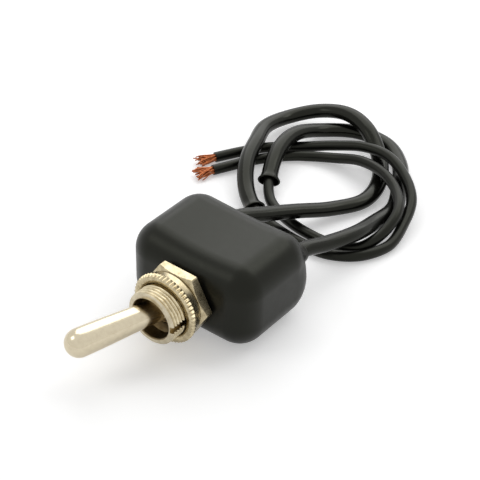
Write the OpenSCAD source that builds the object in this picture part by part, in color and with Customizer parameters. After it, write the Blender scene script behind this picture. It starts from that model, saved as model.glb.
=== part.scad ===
// Panel toggle switch: a nut-mounted bat-handle toggle whose single-pole
// rocker mechanism sits in a moulded jacket with two sleeved flying leads.
// +Y points from the lever to the leads, +Z is up, and the origin lies on the
// bushing's axis in the hex nut's front face, where a panel seats.

/* [Bushing] */
// Diameter over the thread crests
thread_d = 11.9; // [11.7:0.1:12.5]
// Diameter of the thread's core, which runs under both nuts
core_d = 11.5; // [11.3:0.1:11.5]
// How far the bushing's mouth stands in front of the panel seat
bushing_reach = 7.1; // [7:0.1:8]
// Chamfer on the thread's front end
thread_chamfer = 0.4; // [0.2:0.1:0.6]
// Diameter of the mouth that the lever swings in
mouth_d = 9.2; // [9.2:0.1:9.6]
// Chamfer inside the mouth
mouth_chamfer = 0.2; // [0.1:0.1:0.4]
// Depth of the mouth before it cones in to the ball seat's lip
mouth_depth = 2.8; // [2:0.1:3]
// Distance from the mouth back to the lever's pivot
pivot_inset = 6.3; // [6.1:0.1:6.5]
// Width of the keyway along the thread
keyway_w = 1.5; // [1:0.1:2]
// Depth of the keyway below the thread crests
keyway_depth = 0.9; // [0.5:0.1:1]
// Diameter of the spigot staked into the frame
spigot_d = 9.6; // [9.2:0.1:10.4]
// How far the staked rim laps the frame all round
stake_lip = 0.3; // [0.2:0.1:0.5]
// Height of the rim staked over behind the frame
stake_h = 0.6; // [0.4:0.1:0.7]

/* [Nuts] */
// Hex nut's size across its flats
hex_af = 14.3; // [14:0.1:16]
// Hex nut's thickness
hex_t = 2.3; // [2:0.1:3]
// Ring nut's diameter over the knurl
ring_d = 15.7; // [15.3:0.1:17]
// Ring nut's thickness
ring_t = 3.4; // [3:0.1:3.6]
// Number of teeth in the knurl
knurl_teeth = 54; // [40:1:60]
// Depth of the knurl's grooves
knurl_depth = 0.4; // [0.2:0.1:0.5]

/* [Lever] */
// Diameter of the lever's rounded tip
tip_d = 6; // [5:0.1:7]
// Diameter of the lever where it leaves the ball
root_d = 4.8; // [4:0.1:4.8]
// Distance from the pivot to the lever's outer end
lever_reach = 24.2; // [18:0.1:30]
// Diameter of the ball that turns in the bushing
ball_d = 7.8; // [7.6:0.1:8]
// Full angle of the lever's throw, in degrees
throw_angle = 33; // [28:1:33]
// Diameter of the tail behind the ball
tail_d = 4.4; // [4.2:0.1:4.5]
// Length of the tail from the pivot
tail_l = 6.8; // [6.4:0.1:7]
// Diameter of the pivot pin
pin_d = 1.5; // [1.2:0.1:1.6]
// Length of the pivot pin
pin_l = 9; // [8.6:0.1:9.2]

/* [Plunger and spring] */
// Diameter of the plunger
plunger_d = 2.8; // [2.4:0.1:2.8]
// How far inside the tail the plunger starts, measured from the pivot
plunger_root = 5; // [4.6:0.1:5.4]
// Wire diameter of the plunger's spring
spring_wire_d = 0.4; // [0.3:0.05:0.5]
// Number of turns in the plunger's spring
spring_turns = 5; // [4:1:6]

/* [Rocker and contacts] */
// Thickness of the rocker's strip
rocker_t = 0.8; // [0.6:0.1:1]
// Width of the rocker's strip
rocker_w = 5.6; // [4:0.1:6]
// Distance from the rocker's middle to each end
rocker_half = 9; // [8.6:0.1:9.4]
// Tilt of the rocker to each side, in degrees
rocker_tilt = 5; // [4:0.5:5.5]
// Depth of the dish that the plunger runs in
dish_depth = 0.95; // [0.9:0.05:1.1]
// Distance from the frame's plate to the bottom of the dish
dish_inset = 3.7; // [3.6:0.1:4]
// Distance from the bottom of the dish to the trunnions
trunnion_drop = 2.7; // [2.5:0.1:3]
// Diameter of the trunnions
trunnion_d = 1.4; // [1.2:0.1:1.6]
// Distance of the contacts from the rocker's middle
contact_x = 7.5; // [7.2:0.1:7.7]
// Diameter of the moving contact
moving_contact_d = 2.4; // [2:0.1:2.6]
// Height of the moving contact
moving_contact_h = 0.7; // [0.5:0.1:0.9]
// Diameter of each rivet's head
rivet_head_d = 3.4; // [3:0.1:3.6]
// Diameter of each rivet's shank
rivet_d = 2; // [1.6:0.1:2.2]
// Height of each rivet's head
rivet_head_h = 0.6; // [0.5:0.05:0.8]

/* [Base and frame] */
// Wall thickness of the base's cup
base_wall = 1.6; // [1.2:0.1:1.8]
// Thickness of the base's floor
floor_t = 2.5; // [2:0.1:2.6]
// Thickness of the frame's sheet steel
frame_t = 1; // [0.8:0.1:1.1]
// Width of the frame's side walls
frame_w = 20; // [17:0.5:20.5]
// Width of each crimped tab
tab_w = 3; // [2:0.5:4]
// Reach of each crimped tab over the base
tab_reach = 1.7; // [1:0.1:2]
// Thickness of the fibre insulator
insulator_t = 0.5; // [0.4:0.1:0.6]
// Thickness of the cradle that carries the rocker
cradle_t = 0.8; // [0.6:0.05:0.8]

/* [Terminals and leads] */
// Thickness of the terminals
terminal_t = 0.8; // [0.6:0.05:0.8]
// Width of the terminals
terminal_w = 4.8; // [4.2:0.1:5]
// Length of each crimp barrel
barrel_l = 3.2; // [3:0.1:3.3]
// Diameter of a lead's bare conductor
core_wire_d = 2; // [1.6:0.1:2]
// Diameter of a lead over its insulation
wire_d = 2.5; // [2.2:0.1:2.5]
// Outer diameter of the leads' sleeves
sleeve_d = 3.6; // [3.2:0.1:3.6]

/* [Jacket] */
// Width of the jacket
jacket_w = 32; // [31.8:0.1:34]
// Height of the jacket
jacket_h = 19.3; // [19.1:0.1:21]
// Radius of the jacket's rounded edges
jacket_r = 5.2; // [4.6:0.1:5.4]
// Wall thickness of the jacket
jacket_wall = 2; // [1.6:0.1:2.1]
// Length of each strain-relief neck
neck_l = 4.5; // [3.5:0.1:4.7]
// Diameter at the root of each neck
neck_root_d = 6.8; // [6:0.1:8]
// Diameter at the mouth of each neck
neck_d = 4.4; // [4.3:0.1:5]
// Sideways distance of each lead from the middle
lead_x = 9; // [8:0.1:10]
// Depth of the leads below the bushing's axis
lead_drop = 1; // [0:0.1:2]

/* [Hidden] */

$fn = 64;
hull_sides = 32;
cord_sides = 8;

// Clearances: flat faces that seat, turned fits, loose sliding, and moving gaps.
seat_gap = 0.1;
turn_gap = 0.05;
slide_gap = 0.1;
nut_gap = 0.6;
plunger_gap = 0.1;
contact_gap = 0.12;
stop_gap = 0.25;
crimp_room = 1.4;

// Stack along +Y, front to back.
mouth_y = -bushing_reach;
pivot_y = mouth_y + pivot_inset;
ring_rear_y = -seat_gap;
ring_front_y = ring_rear_y - ring_t;
jacket_y = hex_t + nut_gap;
plate_y = jacket_y + jacket_wall + seat_gap;
plate_rear_y = plate_y + frame_t;
insulator_y = plate_rear_y + seat_gap;
base_y = insulator_y + insulator_t + seat_gap;
dish_y = plate_rear_y + dish_inset;
trunnion_y = dish_y + trunnion_drop;
rivet_room = 0.8;
cradle_h = trunnion_d / 2 + rivet_head_h + cradle_t + rivet_room;
floor_y = trunnion_y + cradle_h;
base_rear_y = floor_y + floor_t;
terminal_y = base_rear_y + seat_gap;
terminal_rear_y = terminal_y + terminal_t;
barrel_y = terminal_rear_y + rivet_head_h + 0.3;
barrel_rear_y = barrel_y + barrel_l;
lead_y = 23.4;
cavity_rear_y = barrel_rear_y + crimp_room;
jacket_rear_y = cavity_rear_y + jacket_wall;

// The contents fill the jacket's cavity less the seat gap.
cavity_half_w = jacket_w / 2 - jacket_wall;
cavity_half_h = jacket_h / 2 - jacket_wall;
cavity_r = jacket_r - jacket_wall;
inner_half_w = cavity_half_w - seat_gap;
inner_half_h = cavity_half_h - seat_gap;
inner_r = cavity_r - seat_gap;
base_half_h = inner_half_h - frame_t - seat_gap;
base_corner = 2;
stake_d = spigot_d + 2 * stake_lip;
tail_swing = tail_l * sin(throw_angle / 2) + tail_d / 2 * cos(throw_angle / 2);
bushing_bore_d = 2 * max(ball_d / 2 + slide_gap, tail_swing + 2 * slide_gap);

// Lever swing. The lever rests at one end of its throw, tip towards -X.
rest_angle = throw_angle / 2;
tip_r = tip_d / 2;
plunger_tip_r = plunger_d / 2;
plunger_reach = dish_y - plunger_gap - pivot_y;
spring_bore_d = plunger_d + 2 * slide_gap;
spring_bore_y = 1.5;
spring_r = spring_bore_d / 2 - slide_gap - spring_wire_d / 2 - 0.15;

// The plunger tip's centre, seen from the rocker, moves on a near-circle:
// its radius comes from the middle and the end of the throw.
swing_x = (plunger_reach - plunger_tip_r) * sin(rest_angle);
swing_y = pivot_y + (plunger_reach - plunger_tip_r) * cos(rest_angle) - trunnion_y;
path_x = swing_x * cos(rocker_tilt) + swing_y * sin(rocker_tilt);
path_rise = pivot_y + plunger_reach - plunger_tip_r - trunnion_y
            + swing_x * sin(rocker_tilt) - swing_y * cos(rocker_tilt);
dish_r = (path_x * path_x + path_rise * path_rise) / (2 * path_rise) + plunger_tip_r + plunger_gap;
dish_centre_y = dish_y - dish_r;
dish_half = sqrt(dish_r * dish_r - (dish_r - dish_depth) * (dish_r - dish_depth));
wing_y = dish_y - dish_depth;
wing_rear_y = wing_y + rocker_t;
boss_r = trunnion_d / 2 + 0.5;

// Where a point of the rocker comes to when the rocker is tilted by a.
function tilted_y(x, y, a) = trunnion_y + x * sin(a) + (y - trunnion_y) * cos(a);
fixed_contact_y = contact_gap + tilted_y(-contact_x - moving_contact_d / 2,
                                         wing_rear_y + moving_contact_h, -rocker_tilt);
pedestal_y = fixed_contact_y + rivet_head_h;
stop_y = stop_gap + tilted_y(rocker_half, wing_rear_y, rocker_tilt);
stop_lap = 1.2;
pedestal_margin = 0.8;
root_lap = 0.5;
cup_half_w = inner_half_w - base_wall;
cup_half_h = base_half_h - base_wall;
ear_z = rocker_w / 2 + 0.25;

lead_z = -lead_drop;
barrel_r = core_wire_d / 2 + slide_gap;
barrel_wall = 0.6;
barrel_lap = 0.2;
terminal_x = lead_x + barrel_r + barrel_wall - barrel_lap;
tab_low_z = lead_z - barrel_r - 0.3;
sleeve_bore_d = wire_d + 2 * slide_gap;

// Routes of the two leads, from the crimps to the stripped ends: the first
// sleeved_a or sleeved_b points lie in a sleeve. Leads rest on the surface
// under the jacket, and rise in long humps where one lies on another.
sleeved_a = 17;
route_a = [
    [-9, 23.4, -1], [-9, 31, -1], [-6.5, 38.5, -3], [-3.5, 46, -5], [0.5, 54.5, -7.2],
    [4, 62.5, -7.8], [2.5, 71, -7.8], [-3, 79, -6.7], [-10, 83.5, -4.1], [-17, 85.5, -3.9],
    [-24.5, 84.5, -5.6], [-29.5, 79, -6.6], [-30.5, 70.5, -5.7], [-27.5, 62.5, -5],
    [-24, 54.5, -5.3], [-19, 48, -7], [-13.5, 44, -7.8],
    [-6.5, 42, -8.4], [1.5, 41, -8.4], [8.5, 41.5, -8.4], [14.5, 45.5, -8.4],
    [17.5, 52.5, -8.4], [16.5, 60, -7.2], [14, 67, -5.6], [8.5, 72.5, -4.4], [1.5, 76, -3.6],
    [-5.5, 76.5, -4.2], [-13, 75, -6.2], [-20.5, 72, -8.2], [-27, 66.5, -8.4],
    [-31, 60.5, -8.4], [-34, 55, -8.4]];
sleeved_b = 14;
route_b = [
    [9, 23.4, -1], [9, 31, -1], [10.5, 38.5, -2.8], [12, 47, -4.4], [11.5, 56, -6.6],
    [11, 64.5, -7.8], [7, 73, -7.8], [2, 80.5, -7.8], [-5, 85.5, -7.8], [-13.5, 85.5, -7.8],
    [-20, 80, -7.2], [-22.5, 71.5, -5.1], [-21, 62.5, -5], [-17, 54, -7],
    [-13, 49.5, -8.3], [-7, 46.5, -8.4], [-0.5, 45, -8.4], [6.5, 45, -8.4], [12.5, 47.5, -8.4],
    [15, 53, -6.9], [14.5, 60.5, -4.7], [10, 66.5, -4.4], [3.5, 70.5, -4.3], [-4, 72.5, -5.4],
    [-11, 72, -7.4], [-17.5, 69.5, -8.4], [-22.5, 65, -8.4], [-26.5, 59.5, -8.4],
    [-29, 54.5, -8.4], [-31, 50.5, -8.4]];

function unit(v) = v / norm(v);
function first(path, n) = [for (i = [0 : n - 1]) path[i]];
function heading(path, i) = unit(path[min(i + 1, len(path) - 1)] - path[max(i - 1, 0)]);

// One ring of the cord's section, square to the route and level at its foot.
function ring(path, i, r) =
    let (along = heading(path, i), side = unit(cross(along, [0, 0, 1])), up = cross(side, along))
    [for (k = [0 : cord_sides - 1])
        let (a = (k + 0.5) * 360 / cord_sides) path[i] + r * (cos(a) * side + sin(a) * up)];
function rings(path, r) = [for (i = [0 : len(path) - 1]) each ring(path, i, r)];
function halves(q) = [[q[0], q[1], q[2]], [q[0], q[2], q[3]]];
function wall(n, start, outward) =
    [for (i = [0 : n - 2], k = [0 : cord_sides - 1])
        let (a = start + i * cord_sides, b = a + cord_sides, next = (k + 1) % cord_sides)
        each halves(outward ? [b + next, b + k, a + k, a + next] : [b + k, b + next, a + next, a + k])];

// A solid cord swept along its route.
module cord(path, d) {
    n = len(path);
    last = (n - 1) * cord_sides;
    polyhedron(points = rings(path, d / 2),
               faces = concat([[for (k = [cord_sides - 1 : -1 : 0]) k]],
                              [[for (k = [0 : cord_sides - 1]) last + k]],
                              wall(n, 0, true)));
}

// A hollow tube swept along the same route.
module tubing(path, d, bore) {
    n = len(path);
    inner = n * cord_sides;
    last = (n - 1) * cord_sides;
    ends = [for (k = [0 : cord_sides - 1])
        let (next = (k + 1) % cord_sides)
        each concat(halves([inner + k, inner + next, next, k]),
                    halves([last + k, last + next, inner + last + next, inner + last + k]))];
    polyhedron(points = concat(rings(path, d / 2), rings(path, bore / 2)),
               faces = concat(wall(n, 0, true), wall(n, inner, false), ends));
}

// Stands a child that was drawn along +Z on the Y axis, pointing rearwards.
module along_y(y = 0) {
    translate([0, y, 0]) rotate([-90, 0, 0]) children();
}

// A prism along Y with rounded corners in its X-Z outline.
module y_prism(half_w, half_h, r, y0, y1) {
    along_y(y0) linear_extrude(y1 - y0)
        offset(r = r, $fn = hull_sides) square([2 * (half_w - r), 2 * (half_h - r)], center = true);
}

// A box from one corner to the opposite one.
module block(low, high) {
    translate(low) cube(high - low);
}

module neck(x) {
    flare = (neck_root_d - neck_d) / 2;
    translate([x, jacket_rear_y, lead_z]) rotate([-90, 0, 0]) rotate_extrude()
        difference() {
            translate([0, -jacket_wall]) square([neck_d / 2 + flare, neck_l + jacket_wall]);
            translate([neck_d / 2 + flare, neck_l]) scale([flare, neck_l]) circle(1);
        }
}

// A ball with a point at each pole, so that a hull of them has plain flat faces.
module corner_ball(r) {
    rotate_extrude($fn = hull_sides) intersection() {
        circle(r, $fn = hull_sides);
        translate([0, -r]) square([r, 2 * r]);
    }
}

module jacket_body() {
    size = [jacket_w, jacket_rear_y - jacket_y, jacket_h];
    corner = size / 2 - jacket_r * [1, 1, 1];
    translate([0, jacket_y + size[1] / 2, 0]) hull()
        for (x = [-1, 1], y = [-1, 1], z = [-1, 1])
            translate([x * corner[0], y * corner[1], z * corner[2]]) corner_ball(jacket_r);
}

module jacket() {
    color("#34342f") difference() {
        union() {
            jacket_body();
            for (x = [-lead_x, lead_x]) neck(x);
        }
        y_prism(cavity_half_w, cavity_half_h, cavity_r, jacket_y + jacket_wall, cavity_rear_y);
        along_y(jacket_y - 1) cylinder(d = core_d + 2 * seat_gap, h = jacket_wall + 2);
        for (x = [-lead_x, lead_x])
            translate([x, 0, lead_z]) along_y(cavity_rear_y - 1)
                cylinder(d = sleeve_d + 2 * turn_gap, h = jacket_wall + neck_l + 2);
    }
}

module frame_tab(x, side) {
    tab_low = base_half_h - tab_reach;
    z = side > 0 ? [tab_low, inner_half_h] : [-inner_half_h, -tab_low];
    block([x - tab_w / 2, base_rear_y - frame_t, side > 0 ? inner_half_h - frame_t : -inner_half_h],
          [x + tab_w / 2, terminal_y + frame_t, side > 0 ? inner_half_h : frame_t - inner_half_h]);
    block([x - tab_w / 2, terminal_y, z[0]], [x + tab_w / 2, terminal_y + frame_t, z[1]]);
}

module frame() {
    tab_x = frame_w / 2 - tab_w / 2 - 1;
    color("#b9b4a6") union() {
        difference() {
            y_prism(inner_half_w, inner_half_h, inner_r, plate_y, plate_rear_y);
            along_y(plate_y - 1) cylinder(d = spigot_d + 2 * turn_gap, h = frame_t + 2);
        }
        for (z = [-inner_half_h, inner_half_h - frame_t])
            block([-frame_w / 2, plate_y, z], [frame_w / 2, base_rear_y, z + frame_t]);
        for (x = [-tab_x, tab_x], side = [-1, 1]) frame_tab(x, side);
    }
}

module insulator() {
    color("#6b4a30") difference() {
        y_prism(inner_half_w, base_half_h, base_corner, insulator_y, insulator_y + insulator_t);
        along_y(insulator_y - 1) cylinder(d = stake_d + 4 * seat_gap, h = insulator_t + 2);
    }
}

module base() {
    color("#3a2a20") difference() {
        union() {
            difference() {
                y_prism(inner_half_w, base_half_h, base_corner, base_y, base_rear_y);
                y_prism(cup_half_w, cup_half_h, 0.5, base_y - 1, floor_y);
            }
            block([-cup_half_w - root_lap, pedestal_y, -cup_half_h - root_lap],
                  [rivet_head_d / 2 + pedestal_margin - contact_x, floor_y + root_lap,
                   cup_half_h + root_lap]);
            block([rocker_half - stop_lap, stop_y, -cup_half_h - root_lap],
                  [cup_half_w + root_lap, floor_y + root_lap, cup_half_h + root_lap]);
        }
        for (x = [-contact_x, 0])
            translate([x, 0, 0]) along_y(pedestal_y - 1)
                cylinder(d = rivet_d + 2 * turn_gap, h = base_rear_y - pedestal_y + 2);
    }
}

module bushing() {
    seat_r = ball_d / 2 + turn_gap;
    lip_r = seat_r - 0.5;
    lip_y = pivot_y - sqrt(seat_r * seat_r - lip_r * lip_r);
    stake_y = plate_rear_y + turn_gap;
    rear_y = stake_y + stake_h;
    slot_half = pin_d / 2 + slide_gap;
    color("#c8bfa6") difference() {
        union() {
            along_y(mouth_y) cylinder(d1 = thread_d - 2 * thread_chamfer, d2 = thread_d,
                                      h = thread_chamfer);
            along_y(mouth_y + thread_chamfer)
                cylinder(d = thread_d, h = ring_front_y - mouth_y - thread_chamfer);
            along_y(ring_front_y) cylinder(d = core_d, h = plate_y - ring_front_y);
            along_y(plate_y) cylinder(d = spigot_d, h = rear_y - plate_y);
            along_y(stake_y) cylinder(d1 = stake_d, d2 = spigot_d + stake_lip, h = stake_h);
        }
        along_y(mouth_y - 1) cylinder(d = mouth_d, h = mouth_depth + 1);
        along_y(mouth_y - 0.001) cylinder(d1 = mouth_d + 2 * mouth_chamfer, d2 = mouth_d,
                                          h = mouth_chamfer);
        along_y(mouth_y + mouth_depth) cylinder(d1 = mouth_d, r2 = lip_r,
                                                h = lip_y - 0.4 - mouth_y - mouth_depth);
        along_y(lip_y - 1) cylinder(r = lip_r, h = 2);
        translate([0, pivot_y, 0]) sphere(seat_r);
        along_y(pivot_y) cylinder(d = bushing_bore_d, h = rear_y - pivot_y + 1);
        block([thread_d / 2 - keyway_depth, mouth_y - 1, -keyway_w / 2],
              [thread_d, jacket_y, keyway_w / 2]);
        translate([0, pivot_y, 0]) cylinder(r = slot_half, h = pin_l + 2 * slide_gap, center = true);
        block([-slot_half, pivot_y, -pin_l / 2 - slide_gap],
              [slot_half, rear_y + 1, pin_l / 2 + slide_gap]);
    }
}

module hex_nut() {
    corner_d = hex_af / cos(30);
    bevel = (corner_d - hex_af) / 2;
    color("#c2b898") difference() {
        intersection() {
            along_y(0) cylinder(d = corner_d, h = hex_t, $fn = 6);
            union() {
                along_y(0) cylinder(d1 = hex_af, d2 = corner_d, h = bevel * tan(30));
                along_y(bevel * tan(30)) cylinder(d = corner_d + 0.1, h = hex_t - bevel * tan(30) + 1);
            }
        }
        along_y(-1) cylinder(d = core_d + 2 * turn_gap, h = hex_t + 2);
        along_y(-0.001) cylinder(d1 = thread_d + 0.5, d2 = core_d, h = 0.4);
    }
}

// The ring nut's outline as distances from its axis and from its rear face: its
// chamfers are shares of its wall.
module ring_outline() {
    rim_r = ring_d / 2;
    bore_r = core_d / 2 + turn_gap;
    wall = rim_r - bore_r;
    band_r = rim_r - knurl_depth - wall * 0.05;
    polygon([[bore_r, 0], [band_r - wall * 0.17, 0], [band_r, ring_t * 0.15], [band_r, ring_t * 0.44],
             [rim_r, ring_t * 0.56], [rim_r, ring_t * 0.85], [rim_r - wall * 0.27, ring_t],
             [bore_r + wall * 0.32, ring_t], [bore_r, ring_t * 0.81]]);
}

module ring_nut() {
    step = 360 / knurl_teeth;
    crest = 0.28;
    color("#c2b898") translate([0, ring_rear_y, 0]) rotate([90, 0, 0]) intersection() {
        rotate_extrude() ring_outline();
        linear_extrude(ring_t) polygon([for (i = [0 : knurl_teeth - 1], side = [-crest, crest, 0.5])
            let (r = ring_d / 2 - (side == 0.5 ? knurl_depth : 0), a = (i + side) * step)
            r * [cos(a), sin(a)]]);
    }
}

// Places lever parts: drawn along +Z from the pivot to the tail, at rest.
module on_lever() {
    translate([0, pivot_y, 0]) rotate([0, 0, -rest_angle]) along_y() children();
}

module lever() {
    tip_z = lever_reach - tip_r;
    color("#d6cfbd") on_lever() difference() {
        union() {
            rotate([180, 0, 0]) cylinder(d1 = root_d, r2 = tip_r, h = tip_z);
            translate([0, 0, -tip_z]) sphere(tip_r);
            sphere(d = ball_d);
            cylinder(d = tail_d, h = tail_l);
        }
        translate([0, 0, spring_bore_y]) cylinder(d = spring_bore_d, h = tail_l);
        rotate([90, 0, 0]) cylinder(d = pin_d + 0.04, h = ball_d + 1, center = true);
    }
}

module pivot_pin() {
    color("#9c9a94") translate([0, pivot_y, 0]) cylinder(d = pin_d, h = pin_l, center = true);
}

module plunger() {
    shank_l = plunger_reach - plunger_tip_r - plunger_root;
    color("#a03a24") on_lever() translate([0, 0, plunger_root]) union() {
        cylinder(d = plunger_d, h = shank_l);
        translate([0, 0, shank_l]) sphere(plunger_tip_r);
    }
}

// A compression spring: a fine wire swept along a helix.
module plunger_spring() {
    steps = 12;
    sides = 6;
    low = spring_bore_y + seat_gap + spring_wire_d / 2;
    rise = plunger_root - turn_gap - spring_wire_d / 2 - low;
    total = spring_turns * steps;
    points = [for (i = [0 : total], k = [0 : sides - 1])
        let (a = i * 360 / steps, b = k * 360 / sides, r = spring_r + spring_wire_d / 2 * cos(b))
        [r * cos(a), r * sin(a), low + rise * i / total + spring_wire_d / 2 * sin(b)]];
    sides_of = [for (i = [0 : total - 1], k = [0 : sides - 1])
        let (a = i * sides, b = a + sides, next = (k + 1) % sides)
        each halves([b + next, b + k, a + k, a + next])];
    color("#b8b8b4") on_lever()
        polyhedron(points, concat([[for (k = [sides - 1 : -1 : 0]) k]],
                                  [[for (k = [0 : sides - 1]) total * sides + k]], sides_of));
}

// Places rocker parts, drawn level, at the rocker's rest tilt.
module on_rocker() {
    translate([0, trunnion_y, 0]) rotate([0, 0, rocker_tilt]) translate([0, -trunnion_y, 0])
        children();
}

module rocker_profile() {
    intersection() {
        translate([0, dish_centre_y]) difference() {
            circle(dish_r + rocker_t);
            circle(dish_r);
        }
        translate([-dish_half, dish_centre_y]) square([2 * dish_half, 2 * dish_r]);
    }
    for (side = [-1, 1])
        translate([side * (rocker_half + dish_half) / 2, wing_y + rocker_t / 2])
            square([rocker_half - dish_half + 0.02, rocker_t], center = true);
    translate([-boss_r, dish_y + rocker_t / 2]) square([2 * boss_r, trunnion_drop - rocker_t / 2]);
    translate([0, trunnion_y]) circle(boss_r);
}

module rocker() {
    color("#c9a24a") on_rocker() union() {
        linear_extrude(rocker_w, center = true) rocker_profile();
        translate([0, trunnion_y, 0])
            cylinder(d = trunnion_d, h = 2 * (ear_z + cradle_t), center = true);
    }
}

module moving_contact() {
    color("#d9d9d6") on_rocker() translate([-contact_x, 0, 0]) along_y(wing_rear_y)
        cylinder(d = moving_contact_d, h = moving_contact_h);
}

module cradle() {
    ear_top = trunnion_y - trunnion_d / 2 - cradle_t;
    half_w = trunnion_d / 2 + 1.1;
    color("#c9a24a") difference() {
        union() {
            block([-half_w, floor_y - turn_gap - cradle_t, -ear_z - cradle_t],
                  [half_w, floor_y - turn_gap, ear_z + cradle_t]);
            for (z = [-ear_z - cradle_t, ear_z]) {
                block([-half_w, trunnion_y, z], [half_w, floor_y - turn_gap, z + cradle_t]);
                translate([0, trunnion_y, z]) cylinder(r = trunnion_y - ear_top, h = cradle_t);
            }
        }
        translate([0, trunnion_y, 0])
            cylinder(d = trunnion_d + 2 * turn_gap, h = 4 * ear_z, center = true);
        along_y(floor_y - cradle_t - 1) cylinder(d = rivet_d + 2 * turn_gap, h = cradle_t + 2);
    }
}

// A rivet from a head at y0 to a second head staked over behind a terminal.
module rivet(x, y0) {
    translate([x, 0, 0]) {
        along_y(y0) cylinder(d = rivet_head_d, h = rivet_head_h);
        along_y(y0) cylinder(d = rivet_d, h = terminal_rear_y + rivet_head_h - y0);
        along_y(terminal_rear_y) cylinder(d1 = rivet_head_d, d2 = rivet_d, h = rivet_head_h);
    }
}

module centre_rivet() {
    color("#c9a24a") rivet(0, floor_y - turn_gap - cradle_t - rivet_head_h);
}

module fixed_contact() {
    color("#d9d9d6") rivet(-contact_x, fixed_contact_y);
}

// A terminal: a plate riveted at rivet_x, a folded tab and a crimp barrel.
module terminal(side, rivet_x) {
    half_w = terminal_w / 2;
    x0 = min(side * (terminal_x + terminal_t), rivet_x - half_w);
    x1 = max(side * (terminal_x + terminal_t), rivet_x + half_w);
    tab_x = side > 0 ? terminal_x : -terminal_x - terminal_t;
    difference() {
        union() {
            block([x0, terminal_y, -half_w], [x1, terminal_rear_y, half_w]);
            block([tab_x, terminal_y, tab_low_z], [tab_x + terminal_t, barrel_rear_y, half_w]);
            translate([side * lead_x, 0, lead_z]) along_y(barrel_y)
                cylinder(r = barrel_r + barrel_wall, h = barrel_l);
        }
        translate([side * lead_x, 0, lead_z]) along_y(barrel_y - 0.2)
            cylinder(r = barrel_r, h = barrel_l + 1);
        translate([rivet_x, 0, 0]) along_y(terminal_y - 1)
            cylinder(d = rivet_d + 2 * turn_gap, h = terminal_t + 2);
    }
}

module common_terminal() {
    color("#c9a24a") terminal(1, 0);
}

module end_terminal() {
    color("#c9a24a") terminal(-1, -contact_x);
}

// The bare end of a lead's conductor in its crimp.
module core_stub(side) {
    color("#c8703c") translate([side * lead_x, 0, lead_z]) along_y(barrel_y + 0.2)
        cylinder(d = core_wire_d, h = lead_y - barrel_y - 0.2);
}

module core_a() {
    core_stub(-1);
}

module core_b() {
    core_stub(1);
}

module lead_a() {
    color("#262624") cord(route_a, wire_d);
}

module lead_b() {
    color("#262624") cord(route_b, wire_d);
}

module sleeve_a() {
    color("#3c3c38") tubing(first(route_a, sleeved_a), sleeve_d, sleeve_bore_d);
}

module sleeve_b() {
    color("#3c3c38") tubing(first(route_b, sleeved_b), sleeve_d, sleeve_bore_d);
}

// The stripped end of a lead: a short bundle that frays into loose strands.
module strands(path) {
    end = path[len(path) - 1];
    along = unit(end - path[len(path) - 2]);
    count = 9;
    bundle_l = 1.6;
    strand_l = 4.6;
    color("#c8703c") translate(end) rotate([0, 0, atan2(along[1], along[0])]) {
        rotate([0, 90, 0]) cylinder(d = core_wire_d * 0.8, h = bundle_l);
        for (i = [0 : count - 1])
            let (share = i / (count - 1) - 0.5)
            translate([bundle_l - 0.4, share * 1.1, 0.25 * cos(i * 180)])
                rotate([0, 90 - 3 - 4 * cos(i * 140), share * 50])
                    cylinder(d = 0.36, h = strand_l - 1.2 * abs(share), $fn = 12);
    }
}

module strands_a() {
    strands(route_a);
}

module strands_b() {
    strands(route_b);
}

jacket();
frame();
insulator();
base();
bushing();
hex_nut();
ring_nut();
lever();
pivot_pin();
plunger();
plunger_spring();
rocker();
moving_contact();
cradle();
centre_rivet();
fixed_contact();
common_terminal();
end_terminal();
core_a();
core_b();
lead_a();
lead_b();
sleeve_a();
sleeve_b();
strands_a();
strands_b();
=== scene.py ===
import math
import random
import bmesh
import bpy
from mathutils import Matrix, Vector


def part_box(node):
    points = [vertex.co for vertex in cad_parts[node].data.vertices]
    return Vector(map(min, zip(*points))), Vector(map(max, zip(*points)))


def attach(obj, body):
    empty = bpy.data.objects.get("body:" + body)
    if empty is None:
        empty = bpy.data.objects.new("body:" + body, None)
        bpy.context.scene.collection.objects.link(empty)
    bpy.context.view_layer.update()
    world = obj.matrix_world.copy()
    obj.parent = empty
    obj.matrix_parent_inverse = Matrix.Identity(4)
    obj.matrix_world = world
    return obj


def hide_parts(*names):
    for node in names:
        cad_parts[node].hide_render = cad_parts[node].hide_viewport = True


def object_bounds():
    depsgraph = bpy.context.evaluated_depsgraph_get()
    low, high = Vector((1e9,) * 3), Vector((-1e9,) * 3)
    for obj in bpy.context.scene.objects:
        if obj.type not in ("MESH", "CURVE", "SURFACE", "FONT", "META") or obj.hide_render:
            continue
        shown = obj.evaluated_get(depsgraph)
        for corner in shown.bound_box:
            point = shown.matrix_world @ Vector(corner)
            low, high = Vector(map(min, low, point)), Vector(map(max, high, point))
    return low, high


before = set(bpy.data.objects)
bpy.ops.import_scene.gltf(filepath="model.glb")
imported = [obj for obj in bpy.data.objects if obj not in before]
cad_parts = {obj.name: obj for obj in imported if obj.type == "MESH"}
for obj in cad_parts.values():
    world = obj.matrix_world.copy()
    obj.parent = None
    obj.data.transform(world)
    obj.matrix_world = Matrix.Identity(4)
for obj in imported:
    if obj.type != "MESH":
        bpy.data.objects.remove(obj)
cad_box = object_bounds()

# --- Camera -------------------------------------------------------------------
# A long lens looks down on the switch from over its lever, a third of the way
# round to the right, so the lever, the nuts and the loops of lead all show.
MM = 0.001


def place(name, data):
    """Puts a new object into the scene."""
    thing = bpy.data.objects.new(name, data)
    bpy.context.scene.collection.objects.link(thing)
    return thing


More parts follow.
